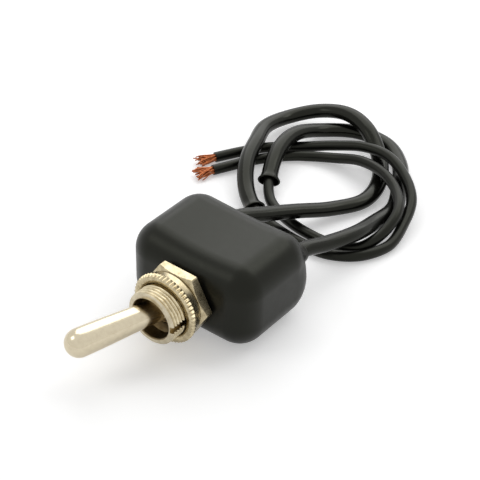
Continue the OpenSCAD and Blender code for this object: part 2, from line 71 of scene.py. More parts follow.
bpy.context.scene.view_settings.view_transform = "Standard"
camera = place("camera", bpy.data.cameras.new("camera"))
bpy.context.scene.camera = camera
camera.data.lens = 106.9
camera.data.sensor_width = 36
camera.data.clip_start = 0.01
camera.location = (144.1 * MM, -166.3 * MM, 184.2 * MM)
tilt = Matrix.Rotation(math.radians(52.56), 3, "X")
turn = Matrix.Rotation(math.radians(37.52), 3, "Z")
roll = Matrix.Rotation(math.radians(1.44), 3, "Z")
camera.rotation_euler = (turn @ tilt @ roll).to_euler()

# --- Leads --------------------------------------------------------------------
# Two stranded leads in black extruded PVC leave the jacket, curl into loose
# loops and end stripped. Each is one smooth tube along its route.
WIRE_R = 1.25 * MM
FLOOR_Z = cad_box[0][2]  # the switch and its loops lie on the floor
ROUTE_STEPS = 10  # steps of the smooth route between two listed points

# Each route runs from inside the jacket's neck to the stripped end, in metres.
ROUTE_A = [
    (-0.009, 0.0234, -0.001), (-0.009, 0.031, -0.001), (-0.0065, 0.0385, -0.003),
    (-0.0035, 0.046, -0.005), (0.0005, 0.0545, -0.0072), (0.004, 0.0625, -0.0078),
    (0.0025, 0.071, -0.0078), (-0.003, 0.079, -0.0067), (-0.010, 0.0835, -0.0041),
    (-0.017, 0.0855, -0.0039), (-0.0245, 0.0845, -0.0056), (-0.0295, 0.079, -0.0066),
    (-0.0305, 0.0705, -0.0057), (-0.0275, 0.0625, -0.005), (-0.024, 0.0545, -0.0053),
    (-0.019, 0.048, -0.007), (-0.0135, 0.044, -0.0078), (-0.0065, 0.042, -0.0084),
    (0.0015, 0.041, -0.0084), (0.0085, 0.0415, -0.0084), (0.0145, 0.0455, -0.0084),
    (0.0175, 0.0525, -0.0084), (0.0165, 0.060, -0.0072), (0.014, 0.067, -0.0056),
    (0.0085, 0.0725, -0.0044), (0.0015, 0.076, -0.0036), (-0.0055, 0.0765, -0.0042),
    (-0.013, 0.075, -0.0062), (-0.0205, 0.072, -0.0082), (-0.027, 0.0665, -0.0084),
    (-0.031, 0.0605, -0.0084), (-0.034, 0.055, -0.0084)]
ROUTE_B = [
    (0.009, 0.0234, -0.001), (0.009, 0.031, -0.001), (0.0105, 0.0385, -0.0028),
    (0.012, 0.047, -0.0044), (0.0115, 0.056, -0.0066), (0.011, 0.0645, -0.0078),
    (0.007, 0.073, -0.0078), (0.002, 0.0805, -0.0078), (-0.005, 0.0855, -0.0078),
    (-0.0135, 0.0855, -0.0078), (-0.020, 0.080, -0.0072), (-0.0225, 0.0715, -0.0051),
    (-0.021, 0.0625, -0.005), (-0.017, 0.054, -0.007), (-0.013, 0.0495, -0.0083),
    (-0.007, 0.0465, -0.0084), (-0.0005, 0.045, -0.0084), (0.0065, 0.045, -0.0084),
    (0.0125, 0.0475, -0.0084), (0.015, 0.053, -0.0069), (0.0145, 0.0605, -0.0047),
    (0.010, 0.0665, -0.0044), (0.0035, 0.0705, -0.0043), (-0.004, 0.0725, -0.0054),
    (-0.011, 0.072, -0.0074), (-0.0175, 0.0695, -0.0084), (-0.0225, 0.065, -0.0084),
    (-0.0265, 0.0595, -0.0084), (-0.029, 0.0545, -0.0084), (-0.031, 0.0505, -0.0084)]


def smooth_route(points):
    """Rounds a route off with a curve that passes through every point."""
    p = [Vector(q) for q in points]
    p = [2 * p[0] - p[1]] + p + [2 * p[-1] - p[-2]]
    route = []
    for a, b, c, d in zip(p, p[1:], p[2:], p[3:]):
        t1 = (b - a).length ** 0.5
        t2 = t1 + (c - b).length ** 0.5
        t3 = t2 + (d - c).length ** 0.5
        for t in [t1 + (t2 - t1) * i / ROUTE_STEPS for i in range(ROUTE_STEPS)]:
            ab = a.lerp(b, t / t1)
            bc = b.lerp(c, (t - t1) / (t2 - t1))
            cd = c.lerp(d, (t - t2) / (t3 - t2))
            abc = ab.lerp(bc, t / t2)
            bcd = bc.lerp(cd, (t - t1) / (t3 - t1))
            route.append(abc.lerp(bcd, (t - t1) / (t2 - t1)))
    return route + [p[-2]]


def route_length(route):
    return sum((b - a).length for a, b in zip(route, route[1:]))


def axes_along(route):
    """The direction at each point of a route, with a side and an up across it that
    are carried along without a twist."""
    axes = []
    side = None
    for i in range(len(route)):
        along = (route[min(i + 1, len(route) - 1)] - route[max(i - 1, 0)]).normalized()
        across = along.cross(Vector((0, 0, 1))) if side is None else side - along * side.dot(along)
        side = across.normalized()
        axes.append((along, side, side.cross(along)))
    return axes


def round_angles(sides):
    """The angles at which a ring's points lie."""
    return [2 * math.pi * k / sides for k in range(sides)]


def ring_faces(rings, sides, closed=False):
    """The faces from each ring of points to the next, and from the last one back to
    the first where the row of rings is closed."""
    faces = []
    for i in range(rings if closed else rings - 1):
        for k in range(sides):
            j, n = (k + 1) % sides, (i + 1) % rings
            faces.append((i * sides + j, i * sides + k, n * sides + k, n * sides + j))
    return faces


def tube(route, radius, sides=20):
    """Sweeps rings along a route and caps both ends."""
    verts = []
    for p, (_, side, up) in zip(route, axes_along(route)):
        for a in round_angles(sides):
            verts.append(p + radius * (math.cos(a) * side + math.sin(a) * up))
    last = len(verts) - sides
    faces = ring_faces(len(route), sides)
    faces.append(list(range(sides)))
    faces.append([last + k for k in reversed(range(sides))])
    return verts, faces


def keep_crisp(piece, crease):
    """Keeps a smooth-shaded piece's edges crisp past an angle in degrees."""
    piece.data.set_sharp_from_angle(angle=math.radians(crease))


def mesh_piece(name, verts, faces, crease=35):
    """Makes a smooth-shaded piece with crisp edges."""
    mesh = bpy.data.meshes.new(name)
    mesh.from_pydata([tuple(v) for v in verts], [], faces)
    mesh.validate()
    mesh.shade_smooth()
    piece = place(name, mesh)
    keep_crisp(piece, crease)
    return piece


def colour(hex_code):
    """Turns an sRGB hex colour into the linear one that shaders take."""
    parts = [int(hex_code[i:i + 2], 16) / 255 for i in (1, 3, 5)]
    return [c / 12.92 if c <= 0.04045 else ((c + 0.055) / 1.055) ** 2.4 for c in parts] + [1]


def feed(tree, node, links):
    """Links outputs to a node's inputs."""
    for name, source in links.items():
        tree.links.new(source, node.inputs[name])


def add(tree, kind, settings=None, links=None):
    """Adds a node, sets its properties and inputs, and links its inputs."""
    node = tree.nodes.new(kind)
    for name, value in (settings or {}).items():
        if name in node.inputs:
            node.inputs[name].default_value = value
        else:
            setattr(node, name, value)
    feed(tree, node, links or {})
    return node


def surface(name, constants=None):
    """A new material with its shader, on which it sets what is the same all over,
    and its object coordinates in metres."""
    material = bpy.data.materials.new(name)
    material.use_nodes = True
    tree = material.node_tree
    shader = tree.nodes["Principled BSDF"]
    for socket, value in (constants or {}).items():
        shader.inputs[socket].default_value = value
    where = add(tree, "ShaderNodeTexCoord").outputs["Object"]
    return material, tree, shader, where


def black_pvc(name, dark, pale, rough, grain_mm):
    """Plasticised PVC: near black, with a grey bloom in patches 6 mm across where it
    has been handled, rubs of 1.5 mm, and a faint orange peel from the die or mould.
    Its skin is oily with plasticiser, so it mirrors less than hard PVC would, and a
    little yellower."""
    material, tree, shader, where = surface(
        name, {"IOR": 1.31, "Specular Tint": (0.97, 1, 0.82, 1)})
    bloom = add(tree, "ShaderNodeTexNoise", {"Scale": 1 / (6 * MM), "Detail": 4},
                {"Vector": where})
    tone = add(tree, "ShaderNodeMix", {"data_type": "RGBA", "A": colour(dark), "B": colour(pale)},
               {"Factor": bloom.outputs["Fac"]})
    rub = add(tree, "ShaderNodeTexNoise", {"Scale": 1 / (1.5 * MM), "Detail": 3},
              {"Vector": where})
    gloss = add(tree, "ShaderNodeMapRange", {"To Min": rough - 0.06, "To Max": rough + 0.08},
                {"Value": rub.outputs["Fac"]})
    peel = add(tree, "ShaderNodeTexNoise", {"Scale": 1 / (grain_mm * MM), "Detail": 2},
               {"Vector": where})
    bump = add(tree, "ShaderNodeBump", {"Strength": 0.12, "Distance": 0.05 * MM},
               {"Height": peel.outputs["Fac"]})
    feed(tree, shader, {"Base Color": tone.outputs["Result"],
                        "Roughness": gloss.outputs["Result"],
                        "Normal": bump.outputs["Normal"]})
    return material


# Extruded straight on to the wire, which leaves a satin skin with a fine orange peel.
wire_pvc = black_pvc("extruded_black_pvc_insulation", "#090908", "#10100e", 0.3, 0.8)
leads = {}
for name, points in (("lead_a", ROUTE_A), ("lead_b", ROUTE_B)):
    route = smooth_route(points)
    for p in route:  # between two low points the curve would dip into the floor
        p.z = max(p.z, FLOOR_Z + WIRE_R)
    piece = mesh_piece(name + "_insulation", *tube(route, WIRE_R))
    piece.data.materials.append(wire_pvc)
    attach(piece, "switch")
    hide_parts(name)
    leads[name] = (piece, route)

# --- Sleeves ------------------------------------------------------------------
# Loose black PVC tubing is pushed over each lead and into the jacket's neck.
# It has gone a little flat, and its cut end has rolled out into a small lip.
SLEEVE_R = 1.8 * MM
SLEEVE_BORE_R = 1.4 * MM
SLEEVED_A = 17  # how many of its lead's listed points each sleeve covers
SLEEVED_B = 14
FLATTENED = 1.1  # how much wider and lower than round
LIP_FLARE = 0.5 * MM
LIP_LENGTH = 2.1 * MM
LIP_UNEVEN = 0.35  # how much more and less the lip flares on its way round
LIP_STEPS = 6  # facets of its rounded edge


def sleeving(route, sides=24):
    """One length of tubing: its outer wall, its rolled lip, and its bore back inside."""
    to_end = [route_length(route[i:]) for i in range(len(route))]
    flare = [LIP_FLARE * max(0, 1 - s / LIP_LENGTH) ** 2 for s in to_end]
    axes = axes_along(route)
    rings = [(p, SLEEVE_R, f, axis) for p, f, axis in zip(route, flare, axes)]
    half_wall = (SLEEVE_R - SLEEVE_BORE_R) / 2
    for t in [math.pi * k / LIP_STEPS for k in range(1, LIP_STEPS)]:
        rings.append((route[-1] + axes[-1][0] * half_wall * math.sin(t),
                      SLEEVE_R - half_wall + half_wall * math.cos(t), flare[-1], axes[-1]))
    rings += [(p, SLEEVE_BORE_R, f, axis)
              for p, f, axis in zip(route[::-1], flare[::-1], axes[::-1])]
    verts = []
    for p, r, f, (_, side, up) in rings:
        for a in round_angles(sides):
            out = r + f * (1 + LIP_UNEVEN * math.sin(2 * a + 1))
            verts.append(p + out * (FLATTENED * math.cos(a) * side + math.sin(a) / FLATTENED * up))
            verts[-1].z = max(verts[-1].z, FLOOR_Z)
    return verts, ring_faces(len(rings), sides, closed=True)


# Extruded through a polished die: smoother and glossier than the leads' own skin.
sleeve_pvc = black_pvc("glossy_black_pvc_tubing", "#090908", "#10100e", 0.18, 1.6)
for name, lead, count in (("sleeve_a", "lead_a", SLEEVED_A), ("sleeve_b", "lead_b", SLEEVED_B)):
    route = leads[lead][1][:(count - 1) * ROUTE_STEPS + 1]
    piece = mesh_piece(name + "_tubing", *sleeving(route))
    piece.data.materials.append(sleeve_pvc)
    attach(piece, "switch")
    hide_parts(name)

# --- Stripped ends ------------------------------------------------------------
# Fine bare copper strands, twisted at the insulation and frayed loose past it.
# Bright drawn wire: orange-red metal, darker where the strands shade each other.
STRAND_R = 0.14 * MM
STRANDS = 44
STRAND_STEPS = 10
STRAND_MM = (3.2, 5.6)  # the shortest and the longest
BUNDLE_R = 0.85 * MM
ROOTED = 0.3 * MM  # how far inside the insulation a strand starts
SPREAD_MM = 1.3  # how far its end can stray to one side
CURL = 0.5 * MM
WAVE = 0.35 * MM


def frayed(end, along, seed):
    """One bundle of strands: each leaves the insulation and wanders off."""
    pick = random.Random(seed)
    side = along.cross(Vector((0, 0, 1))).normalized()
    up = side.cross(along)
    verts, faces = [], []
    for _ in range(STRANDS):
        start = pick.uniform(0, 2 * math.pi)
        out = BUNDLE_R * pick.random() ** 0.5
        length = pick.uniform(*STRAND_MM) * MM
        spread = pick.uniform(-1, 1)
        curl = pick.uniform(-1.2, 1.2)
        twist = pick.uniform(0.6, 1.4)
        strand = []
        for t in [k / STRAND_STEPS for k in range(STRAND_STEPS + 1)]:
            a = start + twist * t
            x = (out * math.cos(a) + spread * SPREAD_MM * MM * t * t
                 + CURL * math.sin(curl * 4 * t) * t)
            z = out * math.sin(a) * (1 - 0.3 * t) + WAVE * math.sin(3 * curl * t) * t
            z = max(z, -WIRE_R + 1.6 * STRAND_R)
            reach = length * t * (1 - 0.12 * abs(curl) * t) - ROOTED
            strand.append(end + along * reach + side * x + up * z)
        v, f = tube(strand, STRAND_R, sides=6)
        faces += [[i + len(verts) for i in face] for face in f]
        verts += v
    return verts, faces


# Drawn copper glints along each strand; a light tarnish varies it from one to the next.
copper, tree, shader, where = surface("bright_drawn_copper", {"Metallic": 1, "Roughness": 0.34})
tarnish = add(tree, "ShaderNodeTexNoise", {"Scale": 1 / (1.2 * MM), "Detail": 3},
              {"Vector": where})
tone = add(tree, "ShaderNodeMix",
           {"data_type": "RGBA", "A": colour("#7c3f24"), "B": colour("#c97d52")},
           {"Factor": tarnish.outputs["Fac"]})
feed(tree, shader, {"Base Color": tone.outputs["Result"]})
for name, lead, seed in (("strands_a", "lead_a", 3), ("strands_b", "lead_b", 8)):
    route = leads[lead][1]
    out_of_lead = (route[-1] - route[-2]).normalized()
    piece = mesh_piece(name + "_copper", *frayed(route[-1], out_of_lead, seed), crease=80)
    piece.data.materials.append(copper)
    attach(piece, "switch")
    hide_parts(name)

# --- Jacket -------------------------------------------------------------------
# A soft black PVC jacket dipped and fused over the whole switch, so that it is
# sealed. Round-edged, about 2 mm thick, and drawn out into a neck round each lead.
JACKET_ROUND = 6.0 * MM
JACKET_WALL = 2.0 * MM
SKIN_CELL = 0.32 * MM  # the size of the skin's facets before they are settled
RIDGE_X = 11.5 * MM  # the top sags between two ridges, and its edges are tighter there
WAIST_SAG = 0.5 * MM
WAIST_TIGHTER = 0.3 * MM
NECK_X = 9.0 * MM
NECK_Z = -1.0 * MM
NECK_ROOT_R = 4.0 * MM
NECK_MOUTH_R = 2.3 * MM
NECK_LENGTH = 4.5 * MM
NECK_BURIED = 3 * MM  # how far its shape goes on inside the body
NECK_EDGE = 0.3 * MM
NECK_BLEND = 3.4 * MM
NECK_BORE_R = SLEEVE_R + 0.05 * MM
FRONT_HOLE_R = 5.85 * MM
FRAME_CORNER_R = 3.2 * MM
FRAME_SIDE_GAP = 0.1 * MM
FRAME_TOP_GAP = 0.05 * MM
jacket_low, jacket_high = [Vector(v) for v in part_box("jacket")]
frame_low, frame_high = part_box("frame")
jacket_rear = jacket_high.y - NECK_LENGTH
body_middle = Vector((0, (jacket_low.y + jacket_rear) / 2, 0))
body_half = Vector((jacket_high.x, (jacket_rear - jacket_low.y) / 2, jacket_high.z))


def blend(a, b, width):
    """Joins two distances with a fillet."""
    h = max(width - abs(a - b), 0) / width
    return min(a, b) - h * h * width / 4


def neck_distance(p, side):
    """How far a point lies outside one neck, which narrows from its root to its mouth."""
    rho = math.hypot(p[0] - side * NECK_X, p[2] - NECK_Z)
    along = min(max((p[1] - jacket_rear) / NECK_LENGTH, -0.5), 1)
    narrowed = NECK_MOUTH_R + (NECK_ROOT_R - NECK_MOUTH_R) * (1 - along) ** 1.6
    wall = rho - narrowed + NECK_EDGE
    cap = max(p[1] - jacket_rear - NECK_LENGTH + NECK_EDGE, jacket_rear - NECK_BURIED - p[1])
    return math.hypot(max(wall, 0), max(cap, 0)) + min(max(wall, cap), 0) - NECK_EDGE


def jacket_distance(p):
    """How far a point lies outside the jacket's outer skin, whose top has sagged a
    little between a ridge near each end."""
    waist = max(0, 1 - (p[0] / RIDGE_X) ** 2) ** 1.5
    sag = (0, 0, WAIST_SAG * waist if p[2] > 0 else 0)
    corner = JACKET_ROUND - WAIST_TIGHTER * waist
    past = [abs(p[i] - body_middle[i]) - body_half[i] + sag[i] + corner for i in range(3)]
    away = math.sqrt(sum(max(c, 0) ** 2 for c in past)) + min(max(past), 0) - corner
    for side in (-1, 1):
        away = blend(away, neck_distance(p, side), NECK_BLEND)
    return away


def settle(piece, distance, rounds=3):
    """Moves every vertex of a mesh on to the surface at which a distance is zero."""
    step = 0.01 * MM
    for vertex in piece.data.vertices:
        p = list(vertex.co)
        for _ in range(rounds):
            d = distance(p)
            slope = []
            for i in range(3):
                beside = list(p)
                beside[i] += step
                slope.append((distance(beside) - d) / step)
            size = sum(s * s for s in slope) or 1
            p = [p[i] - d * slope[i] / size for i in range(3)]
        vertex.co = p


def apply_modifiers(piece):
    """Bakes a piece's modifiers into its mesh."""
    evaluated = piece.evaluated_get(bpy.context.evaluated_depsgraph_get())
    mesh = bpy.data.meshes.new_from_object(evaluated)
    piece.modifiers.clear()
    piece.data = mesh


def combine(piece, operation, others):
    """Joins other solids on to a piece or cuts them out of it, and discards them."""
    for other in others:
        step = piece.modifiers.new("combine", "BOOLEAN")
        step.operation, step.object, step.solver = operation, other, "EXACT"
    apply_modifiers(piece)
    for other in others:
        bpy.data.objects.remove(other)


def cut_away(piece, cutter, *more):
    """Cuts one or more solids, first joined into one, out of a piece."""
    combine(cutter, "UNION", more)
    combine(piece, "DIFFERENCE", [cutter])


def turned(name, stations, sides, radius_at=None, closed=True, crease=35):
    """Turns a section of (y, radius) stations round the Y axis. Where the radius also
    changes with the angle, radius_at gives it. A closed section joins up its ends."""
    verts = []
    for y, r in stations:
        for a in round_angles(sides):
            out = radius_at(a, y, r) if radius_at else r
            verts.append((out * math.cos(a), y, out * math.sin(a)))
    piece = mesh_piece(name, verts, ring_faces(len(stations), sides, closed), crease)
    shell = bmesh.new()
    shell.from_mesh(piece.data)
    bmesh.ops.remove_doubles(shell, verts=shell.verts, dist=1e-7)
    bmesh.ops.recalc_face_normals(shell, faces=shell.faces)
    shell.to_mesh(piece.data)
    shell.free()
    piece.data.shade_smooth()
    keep_crisp(piece, crease)
    return piece


def round_bar(name, start, end, start_r, end_r, sides):
    """A plain or tapered bar along Y, to join on or to cut out."""
    return turned(name, [(start, 0), (start, start_r), (end, end_r), (end, 0)], sides,
                  closed=False)


def bars_at_necks(name, start, end, start_r, end_r, sides):
    """One such bar on the axis of each neck."""
    bars = []
    for side in (-1, 1):
        bars.append(round_bar(name, start, end, start_r, end_r, sides))
        bars[-1].data.transform(Matrix.Translation((side * NECK_X, 0, NECK_Z)))
    return bars


def slab(name, low, high, round_off=0.0, along=(0, 1, 2)):
    """A block between two corners, with its edges along some of its axes rounded off."""
    block = bmesh.new()
    bmesh.ops.create_cube(block, size=1)
    for v in block.verts:
        v.co = [low[i] + (v.co[i] + 0.5) * (high[i] - low[i]) for i in range(3)]
    if round_off:
        worn = [e for e in block.edges
                if any(abs(e.verts[0].co[i] - e.verts[1].co[i]) > 1e-9 for i in along)]
        bmesh.ops.bevel(block, geom=worn, offset=round_off, segments=6, profile=0.5,
                        affect="EDGES")
    mesh = bpy.data.meshes.new(name)
    block.to_mesh(mesh)
    block.free()
    return place(name, mesh)


jacket = slab("jacket_skin", body_middle - body_half, body_middle + body_half, JACKET_ROUND)
combine(jacket, "UNION", bars_at_necks("neck", jacket_rear - 2 * MM, jacket_high.y,
                                       NECK_ROOT_R, NECK_MOUTH_R, 32))
remesh = jacket.modifiers.new("remesh", "REMESH")
remesh.mode, remesh.voxel_size = "VOXEL", SKIN_CELL
smooth = jacket.modifiers.new("smooth", "SMOOTH")
smooth.factor, smooth.iterations = 0.5, 12
apply_modifiers(jacket)
settle(jacket, jacket_distance)
cavity = slab("cavity", (frame_low[0] - FRAME_SIDE_GAP, jacket_low.y + JACKET_WALL,
                         frame_low[2] - FRAME_TOP_GAP),
              (frame_high[0] + FRAME_SIDE_GAP, jacket_rear - JACKET_WALL,
               frame_high[2] + FRAME_TOP_GAP), FRAME_CORNER_R, along=(1,))
bores = bars_at_necks("bore", jacket_rear - 4 * MM, jacket_high.y + MM,
                      NECK_BORE_R, NECK_BORE_R, 48)
front_hole = round_bar("front_hole", jacket_low.y - MM, jacket_low.y + 3 * MM,
                       FRONT_HOLE_R, FRONT_HOLE_R, 96)
cut_away(jacket, cavity, front_hole, *bores)
jacket.data.shade_smooth()
keep_crisp(jacket, 50)
jacket.data.materials.clear()
# Fused in an oven: a satin skin, a shade greyer than the leads', with a coarser peel.
jacket.data.materials.append(black_pvc("fused_black_pvc_jacket", "#0b0b0a", "#121210", 0.34, 2.6))
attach(jacket, "switch")
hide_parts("jacket")

# --- Bushing ------------------------------------------------------------------
# Brass turned on an automatic lathe, threaded 32 to the inch and nickel plated.
# A keyway is milled down one side; the lever's ball turns in a seat inside it.
THREAD_R = 5.95 * MM
THREAD_CORE_R = 5.63 * MM
THREAD_PITCH = 0.794 * MM
THREAD_ROW = 0.08 * MM  # the space between the rings of points that draw the thread
RUN_IN = 0.3 * MM  # where the thread starts, and how far it takes to reach its depth
MOUTH_R = 4.6 * MM
MOUTH_EDGE = 0.2 * MM
MOUTH_DEPTH = 2.8 * MM
SEAT_R = 3.95 * MM
SEAT_LIP_IN = 0.5 * MM  # how far the seat closes in front of the ball
BARREL_R = 5.75 * MM  # behind the thread, under the nuts
SPIGOT_R = 4.8 * MM  # goes through the frame and is staked over behind it
SPIGOT_LENGTH = 1.05 * MM
REAR_BORE_R = 4.24 * MM
KEYWAY_HALF = 0.75 * MM
KEYWAY_DEPTH = 0.9 * MM
PIN_SLOT_R = 0.85 * MM
PIN_SLOT_END = 0.1 * MM
bushing_low, bushing_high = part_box("bushing")
ring_low, ring_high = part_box("ring_nut")
hex_low, hex_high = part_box("hex_nut")
pin_low, pin_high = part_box("pivot_pin")
PIVOT = Vector((0, (pin_low[1] + pin_high[1]) / 2, 0))


def plated(name, dark, bright, rough_low, rough_high, root_r=0, crest_r=0, dents=0.08):
    """Nickel plate: warm white metal with a mottle of wear 1.1 mm across and a fine
    grain of 0.35 mm. Between a root and a crest radius the grooves are painted
    brown as shade."""
    material, tree, shader, where = surface(name, {"Metallic": 1})
    mottle = add(tree, "ShaderNodeTexNoise", {"Scale": 1 / (1.1 * MM), "Detail": 5},
                 {"Vector": where})
    level = mottle.outputs["Fac"]
    if crest_r:
        split = add(tree, "ShaderNodeSeparateXYZ", {}, {"Vector": where})
        across = add(tree, "ShaderNodeCombineXYZ", {},
                     {"X": split.outputs["X"], "Y": split.outputs["Z"]})
        rho = add(tree, "ShaderNodeVectorMath", {"operation": "LENGTH"},
                  {"Vector": across.outputs["Vector"]})
        # Painted shade: the colour darkens from the crest radius down to the root radius.
        painted_groove_shade = add(tree, "ShaderNodeMapRange", {"From Min": root_r, "From Max": crest_r},
                     {"Value": rho.outputs["Value"]})
        level = add(tree, "ShaderNodeMath", {"operation": "MULTIPLY"},
                    {0: level, 1: painted_groove_shade.outputs["Result"]}).outputs["Value"]
    # Wear mottle, multiplied by the painted groove shade on the thread.
    worn = add(tree, "ShaderNodeMapRange", {"From Min": 0.1, "From Max": 0.6}, {"Value": level})
    tone = add(tree, "ShaderNodeMix",
               {"data_type": "RGBA", "A": colour(dark), "B": colour(bright)},
               {"Factor": worn.outputs["Result"]})
    grain = add(tree, "ShaderNodeTexNoise", {"Scale": 1 / (0.35 * MM), "Detail": 4},
                {"Vector": where})
    gloss = add(tree, "ShaderNodeMapRange", {"To Min": rough_low, "To Max": rough_high},
                {"Value": grain.outputs["Fac"]})
    bump = add(tree, "ShaderNodeBump", {"Strength": dents, "Distance": 0.02 * MM},
               {"Height": grain.outputs["Fac"]})
    feed(tree, shader, {"Base Color": tone.outputs["Result"],
                        "Roughness": gloss.outputs["Result"],
                        "Normal": bump.outputs["Normal"]})
    return material


def threaded(a, y, r):
    """The outer radius of the helical thread, which runs out near the mouth. Its
    crests and roots are rounded and a little flat."""
    if r < THREAD_R - 1e-6 or y > ring_high[1]:
        return r
    wave = abs(2 * ((y / THREAD_PITCH + a / (2 * math.pi)) % 1) - 1)
    depth = 0.5 - 0.5 * math.cos(math.pi * min(1, max(0, 1.3 * wave - 0.15)))
    start = min(max((y - bushing_low[1] - RUN_IN) / RUN_IN, 0), 1)
    return r - (THREAD_R - THREAD_CORE_R) * depth * start


mouth_y = bushing_low[1]
lip_r = SEAT_R - SEAT_LIP_IN
lip_y = PIVOT.y - math.sqrt(SEAT_R ** 2 - lip_r ** 2)
rows = int((ring_low[1] - 0.05 * MM - mouth_y) / THREAD_ROW)
# The face, its outer edge and the thread.
section = [(mouth_y, MOUTH_R + MOUTH_EDGE), (mouth_y, THREAD_R - 0.45 * MM),
           (mouth_y + 0.05 * MM, THREAD_R - 0.3 * MM)]
section += [(mouth_y + 0.35 * MM + THREAD_ROW * i, THREAD_R) for i in range(rows)]
# The barrel, the spigot and its staked rim, and the rear bore.
section += [(ring_low[1] + 0.5 * MM, BARREL_R), (frame_low[1], BARREL_R),
            (frame_low[1], SPIGOT_R), (frame_low[1] + SPIGOT_LENGTH, SPIGOT_R),
            (frame_low[1] + SPIGOT_LENGTH, SPIGOT_R + 0.3 * MM),
            (bushing_high[1], SPIGOT_R + 0.15 * MM), (bushing_high[1], REAR_BORE_R),
            (PIVOT.y, REAR_BORE_R), (PIVOT.y, SEAT_R)]
# The ball's seat up to its lip, and the cone from there to the mouth.
section += [(PIVOT.y - SEAT_R * math.sin(t), SEAT_R * math.cos(t))
            for t in [math.asin((PIVOT.y - lip_y) / SEAT_R) * k / 8 for k in range(1, 9)]]
section += [(lip_y - 0.4 * MM, lip_r), (mouth_y + MOUTH_DEPTH, MOUTH_R),
            (mouth_y + MOUTH_EDGE, MOUTH_R)]
bushing = turned("bushing_turned", section, 192, threaded, crease=40)
keyway = slab("keyway", (THREAD_R - KEYWAY_DEPTH, mouth_y - MM, -KEYWAY_HALF),
              (7 * MM, jacket_low.y, KEYWAY_HALF))
pin_slot = slab("pin_slot", (-PIN_SLOT_R, PIVOT.y - PIN_SLOT_R, pin_low[2] - PIN_SLOT_END),
                (PIN_SLOT_R, bushing_high[1] + MM, pin_high[2] + PIN_SLOT_END))
cut_away(bushing, keyway, pin_slot)
keep_crisp(bushing, 40)
bushing.data.materials.clear()
# The thread is painted brown in its grooves as shade, and bright on its crests.
# The bore is painted dark as shade. The turned face is even and soft.
# The thread's plate carries painted shade in its grooves.
for plate in (plated("nickel_plated_brass_thread_with_painted_groove_shade", "#a08f6b", "#ddd1b2", 0.24, 0.36,
                     THREAD_CORE_R - 0.15 * MM, THREAD_R - 0.1 * MM),
              # Painted shade and painted dark reflection: the whole bore is coloured dark brown.
              plated("nickel_plated_bore_with_painted_shade", "#5c4a30", "#8f8064", 0.3, 0.45),
              plated("nickel_plated_bushing_face", "#a89b80", "#c8bea6", 0.24, 0.34)):
    bushing.data.materials.append(plate)
SHADED_BORE_PLATE, FACE_PLATE = 1, 2  # the rest keeps the first, the thread's
for face in bushing.data.polygons:
    rho = math.hypot(face.center.x, face.center.z)
    # Faces inside the bore take the plate with the painted shade.
    if rho < MOUTH_R + 0.15 * MM:
        face.material_index = SHADED_BORE_PLATE
    elif face.center.y < mouth_y + 0.3 * MM:
        face.material_index = FACE_PLATE
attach(bushing, "switch")
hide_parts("bushing")

# --- Hex nut ------------------------------------------------------------------
# Steel nut stamped and threaded, bevelled on its front corners, nickel plated.
# It stays tight against the jacket's face.
NUT_BORE_R = 5.8 * MM
HEX_SINK_R = 6.25 * MM  # the countersink in front of its bore
HEX_SINK_DEPTH = 0.45 * MM
HEX_FACE_R = 6.8 * MM
HEX_CORNER_R = 8.2 * MM
HEX_EDGE = 0.12 * MM
BEVEL_IN = 0.1 * MM  # how far inside its flats the bevel starts
BEVEL_ROW = 0.07 * MM  # the space between the rings of points that draw it
BEVEL_ROWS = 11
hex_half = hex_high[2]


def six_sided(a, y, r):
    """The hexagon's radius, drawn in on the front by a 30 degree bevel."""
    if r < hex_half - 0.5 * MM:
        return r
    from_flat = (a - math.pi / 6) % (math.pi / 3)
    from_flat = min(from_flat, math.pi / 3 - from_flat)
    corner = min(hex_half / math.cos(from_flat), HEX_CORNER_R) - (hex_half - r)
    return min(corner, hex_half - BEVEL_IN + (y - hex_low[1]) * math.sqrt(3))


section = [(hex_low[1], HEX_SINK_R), (hex_low[1], HEX_FACE_R)]
section += [(hex_low[1] + BEVEL_ROW * k, hex_half) for k in range(BEVEL_ROWS)]
section += [(hex_high[1] - HEX_EDGE, hex_half), (hex_high[1], hex_half - HEX_EDGE),
            (hex_high[1], NUT_BORE_R), (hex_low[1] + HEX_SINK_DEPTH, NUT_BORE_R)]
hex_nut = turned("hex_nut_stamped", section, 240, six_sided, crease=22)
# Plated loose in a barrel: darker than the bushing, with soft reflections.
nut_plate = plated("nickel_plated_steel_nut", "#86775a", "#c6b999", 0.22, 0.34)
hex_nut.data.materials.append(nut_plate)
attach(hex_nut, "switch")
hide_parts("hex_nut")

# --- Knurled ring nut ---------------------------------------------------------
# The round face nut that clamps the panel from the front: its rim is straight
# knurled for the fingers and it is nickel plated like the hex nut.
KNURL_TEETH = 54
KNURL_DEPTH = 0.42 * MM
RING_SINK_R = 6.45 * MM
RING_SINK_DEPTH = 0.65 * MM
# The rim's section, in mm back from the front face and in from the teeth's crests.
RIM = ((0, 0.75), (0.05, 0.58), (0.16, 0.45), (0.2, 0.29), (0.34, 0.1), (0.5, 0),
       (1.3, 0), (1.45, 0.1), (1.58, 0.29), (1.64, 0.5), (1.75, 0.56))
# The plain band behind it, in mm forward from the back face and in from the crests.
BAND = ((0.5, 0.56), (0.15, 0.66), (0, 0.95))
front, back = ring_low[1], ring_high[1]
ring_r = ring_high[0]


def knurled(a, y, r):
    """Rounded teeth round the rim, run out towards the front edge and the band."""
    if r < ring_r - 0.3 * MM:
        return r
    wave = 0.5 - 0.5 * math.cos(KNURL_TEETH * a)
    return r - (KNURL_DEPTH - (ring_r - r)) * wave ** 0.7


